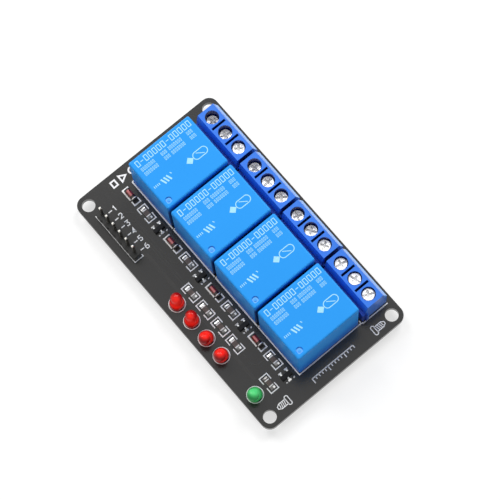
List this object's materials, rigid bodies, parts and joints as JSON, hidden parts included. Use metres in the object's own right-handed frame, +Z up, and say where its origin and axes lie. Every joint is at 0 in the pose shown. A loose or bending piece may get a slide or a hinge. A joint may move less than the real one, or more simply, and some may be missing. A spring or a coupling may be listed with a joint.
{
  "type": "relay module board",
  "caption": "Rectangular control board with a row of sealed relays, screw terminal blocks, indicator lamps and a pin header.",
  "frame": {"origin": "under the middle of the board, level with the ends of the cut pins that it stands on", "axes": "+X along the row of relays, away from the header; +Y from the header edge towards the terminal blocks; +Z up, out of the board's component side"},
  "size_m": [0.076, 0.0448, 0.0189],
  "materials": {
    "board_laminate": "black solder mask over glass-fibre laminate, satin",
    "terminal_plastic": "royal blue moulded plastic, satin",
    "relay_cover": "azure moulded plastic, satin",
    "relay_base": "dark moulded plastic",
    "bobbin_plastic": "natural moulded plastic",
    "copper_wire": "enamelled copper winding",
    "iron": "nickel-plated iron",
    "contact_alloy": "tinned copper alloy",
    "tinned_steel": "tin-plated",
    "screw_nickel": "bright nickel-plated steel",
    "header_plastic": "black moulded plastic",
    "pin_metal": "tin-plated brass, bright",
    "red_lens": "red diffused epoxy, glossy",
    "green_lens": "green diffused epoxy, glossy",
    "diode_glass": "reddish glass",
    "chip_ceramic": "black glaze over white ceramic",
    "package_epoxy": "black moulding compound",
    "solder": "bright solder"
  },
  "bodies": {
    "board": {"circuit_board": "board_laminate", "terminal_body_1": "terminal_plastic", "terminal_body_2": "terminal_plastic", "terminal_body_3": "terminal_plastic", "terminal_body_4": "terminal_plastic", "terminal_cages": "tinned_steel", "relay_case_1": "relay_cover", "relay_case_2": "relay_cover", "relay_case_3": "relay_cover", "relay_case_4": "relay_cover", "relay_bases": "relay_base", "relay_pins": "contact_alloy", "relay_yokes": "iron", "relay_cores": "iron", "relay_bobbins": "bobbin_plastic", "relay_windings": "copper_wire", "header_strip": "header_plastic", "header_pins": "pin_metal", "red_led_1": "red_lens", "red_led_2": "red_lens", "red_led_3": "red_lens", "red_led_4": "red_lens", "green_led": "green_lens", "led_leads": "tinned_steel", "diode_glass": "diode_glass", "diode_caps": "tinned_steel", "transistor_bodies": "package_epoxy", "transistor_leads": "tinned_steel", "resistor_bodies": "chip_ceramic", "resistor_ends": "solder", "solder_joints": "solder"},
    "guard_1": {"wire_guard_1": "tinned_steel"},
    "screw_1": {"clamp_screw_1": "screw_nickel"},
    "guard_2": {"wire_guard_2": "tinned_steel"},
    "screw_2": {"clamp_screw_2": "screw_nickel"},
    "guard_3": {"wire_guard_3": "tinned_steel"},
    "screw_3": {"clamp_screw_3": "screw_nickel"},
    "guard_4": {"wire_guard_4": "tinned_steel"},
    "screw_4": {"clamp_screw_4": "screw_nickel"},
    "guard_5": {"wire_guard_5": "tinned_steel"},
    "screw_5": {"clamp_screw_5": "screw_nickel"},
    "guard_6": {"wire_guard_6": "tinned_steel"},
    "screw_6": {"clamp_screw_6": "screw_nickel"},
    "guard_7": {"wire_guard_7": "tinned_steel"},
    "screw_7": {"clamp_screw_7": "screw_nickel"},
    "guard_8": {"wire_guard_8": "tinned_steel"},
    "screw_8": {"clamp_screw_8": "screw_nickel"},
    "guard_9": {"wire_guard_9": "tinned_steel"},
    "screw_9": {"clamp_screw_9": "screw_nickel"},
    "guard_10": {"wire_guard_10": "tinned_steel"},
    "screw_10": {"clamp_screw_10": "screw_nickel"},
    "guard_11": {"wire_guard_11": "tinned_steel"},
    "screw_11": {"clamp_screw_11": "screw_nickel"},
    "guard_12": {"wire_guard_12": "tinned_steel"},
    "screw_12": {"clamp_screw_12": "screw_nickel"},
    "armature_1": {"relay_armature_1": "iron"},
    "armature_2": {"relay_armature_2": "iron"},
    "armature_3": {"relay_armature_3": "iron"},
    "armature_4": {"relay_armature_4": "iron"}
  },
  "joints": [
    {"name": "guard_1_slide", "type": "slide", "parent": "board", "child": "guard_1", "axis": [0, 0, 1], "range_m": [-0.0002, 0.00238]},
    {"name": "screw_1_turn", "type": "hinge", "parent": "guard_1", "child": "screw_1", "pos_m": [-0.02998, 0.01695, 0.01], "axis": [0, 0, 1], "range_deg": [-161, 1905]},
    {"name": "guard_2_slide", "type": "slide", "parent": "board", "child": "guard_2", "axis": [0, 0, 1], "range_m": [-0.0009, 0.00168]},
    {"name": "screw_2_turn", "type": "hinge", "parent": "guard_2", "child": "screw_2", "pos_m": [-0.0249, 0.01695, 0.01], "axis": [0, 0, 1], "range_deg": [-721, 1345]},
    {"name": "guard_3_slide", "type": "slide", "parent": "board", "child": "guard_3", "axis": [0, 0, 1], "range_m": [-0.002, 0.00058]},
    {"name": "screw_3_turn", "type": "hinge", "parent": "guard_3", "child": "screw_3", "pos_m": [-0.01982, 0.01695, 0.01], "axis": [0, 0, 1], "range_deg": [-1601, 465]},
    {"name": "guard_4_slide", "type": "slide", "parent": "board", "child": "guard_4", "axis": [0, 0, 1], "range_m": [-0.0007, 0.00188]},
    {"name": "screw_4_turn", "type": "hinge", "parent": "guard_4", "child": "screw_4", "pos_m": [-0.01363, 0.01695, 0.01], "axis": [0, 0, 1], "range_deg": [-561, 1505]},
    {"name": "guard_5_slide", "type": "slide", "parent": "board", "child": "guard_5", "axis": [0, 0, 1], "range_m": [-0.0016, 0.00098]},
    {"name": "screw_5_turn", "type": "hinge", "parent": "guard_5", "child": "screw_5", "pos_m": [-0.00855, 0.01695, 0.01], "axis": [0, 0, 1], "range_deg": [-1281, 785]},
    {"name": "guard_6_slide", "type": "slide", "parent": "board", "child": "guard_6", "axis": [0, 0, 1], "range_m": [-0.0013, 0.00128]},
    {"name": "screw_6_turn", "type": "hinge", "parent": "guard_6", "child": "screw_6", "pos_m": [-0.00347, 0.01695, 0.01], "axis": [0, 0, 1], "range_deg": [-1041, 1025]},
    {"name": "guard_7_slide", "type": "slide", "parent": "board", "child": "guard_7", "axis": [0, 0, 1], "range_m": [-0.0011, 0.00148]},
    {"name": "screw_7_turn", "type": "hinge", "parent": "guard_7", "child": "screw_7", "pos_m": [0.00272, 0.01695, 0.01], "axis": [0, 0, 1], "range_deg": [-881, 1185]},
    {"name": "guard_8_slide", "type": "slide", "parent": "board", "child": "guard_8", "axis": [0, 0, 1], "range_m": [-0.0014, 0.00118]},
    {"name": "screw_8_turn", "type": "hinge", "parent": "guard_8", "child": "screw_8", "pos_m": [0.0078, 0.01695, 0.01], "axis": [0, 0, 1], "range_deg": [-1121, 945]},
    {"name": "guard_9_slide", "type": "slide", "parent": "board", "child": "guard_9", "axis": [0, 0, 1], "range_m": [-0.002, 0.00058]},
    {"name": "screw_9_turn", "type": "hinge", "parent": "guard_9", "child": "screw_9", "pos_m": [0.01288, 0.01695, 0.01], "axis": [0, 0, 1], "range_deg": [-1601, 465]},
    {"name": "guard_10_slide", "type": "slide", "parent": "board", "child": "guard_10", "axis": [0, 0, 1], "range_m": [-0.0022, 0.00038]},
    {"name": "screw_10_turn", "type": "hinge", "parent": "guard_10", "child": "screw_10", "pos_m": [0.01907, 0.01695, 0.01], "axis": [0, 0, 1], "range_deg": [-1761, 305]},
    {"name": "guard_11_slide", "type": "slide", "parent": "board", "child": "guard_11", "axis": [0, 0, 1], "range_m": [-0.0025, 0.00008]},
    {"name": "screw_11_turn", "type": "hinge", "parent": "guard_11", "child": "screw_11", "pos_m": [0.02415, 0.01695, 0.01], "axis": [0, 0, 1], "range_deg": [-2001, 65]},
    {"name": "guard_12_slide", "type": "slide", "parent": "board", "child": "guard_12", "axis": [0, 0, 1], "range_m": [-0.0025, 0.00008]},
    {"name": "screw_12_turn", "type": "hinge", "parent": "guard_12", "child": "screw_12", "pos_m": [0.02923, 0.01695, 0.01], "axis": [0, 0, 1], "range_deg": [-2001, 65]},
    {"name": "armature_1_swing", "type": "hinge", "parent": "board", "child": "armature_1", "pos_m": [-0.02505, -0.0057, 0.01498], "axis": [1, 0, 0], "range_deg": [-3.5, 0], "stiffness_Nm_per_rad": 0.004, "springref_deg": 8.59},
    {"name": "armature_2_swing", "type": "hinge", "parent": "board", "child": "armature_2", "pos_m": [-0.0087, -0.0057, 0.01498], "axis": [1, 0, 0], "range_deg": [-3.5, 0], "stiffness_Nm_per_rad": 0.004, "springref_deg": 8.59},
    {"name": "armature_3_swing", "type": "hinge", "parent": "board", "child": "armature_3", "pos_m": [0.00765, -0.0057, 0.01498], "axis": [1, 0, 0], "range_deg": [-3.5, 0], "stiffness_Nm_per_rad": 0.004, "springref_deg": 8.59},
    {"name": "armature_4_swing", "type": "hinge", "parent": "board", "child": "armature_4", "pos_m": [0.024, -0.0057, 0.01498], "axis": [1, 0, 0], "range_deg": [-3.5, 0], "stiffness_Nm_per_rad": 0.004, "springref_deg": 8.59}
  ],
  "couplings": [
    {"joint": "screw_1_turn", "follows": "guard_1_slide", "rad_per_m": 13963},
    {"joint": "screw_2_turn", "follows": "guard_2_slide", "rad_per_m": 13963},
    {"joint": "screw_3_turn", "follows": "guard_3_slide", "rad_per_m": 13963},
    {"joint": "screw_4_turn", "follows": "guard_4_slide", "rad_per_m": 13963},
    {"joint": "screw_5_turn", "follows": "guard_5_slide", "rad_per_m": 13963},
    {"joint": "screw_6_turn", "follows": "guard_6_slide", "rad_per_m": 13963},
    {"joint": "screw_7_turn", "follows": "guard_7_slide", "rad_per_m": 13963},
    {"joint": "screw_8_turn", "follows": "guard_8_slide", "rad_per_m": 13963},
    {"joint": "screw_9_turn", "follows": "guard_9_slide", "rad_per_m": 13963},
    {"joint": "screw_10_turn", "follows": "guard_10_slide", "rad_per_m": 13963},
    {"joint": "screw_11_turn", "follows": "guard_11_slide", "rad_per_m": 13963},
    {"joint": "screw_12_turn", "follows": "guard_12_slide", "rad_per_m": 13963}
  ]
}
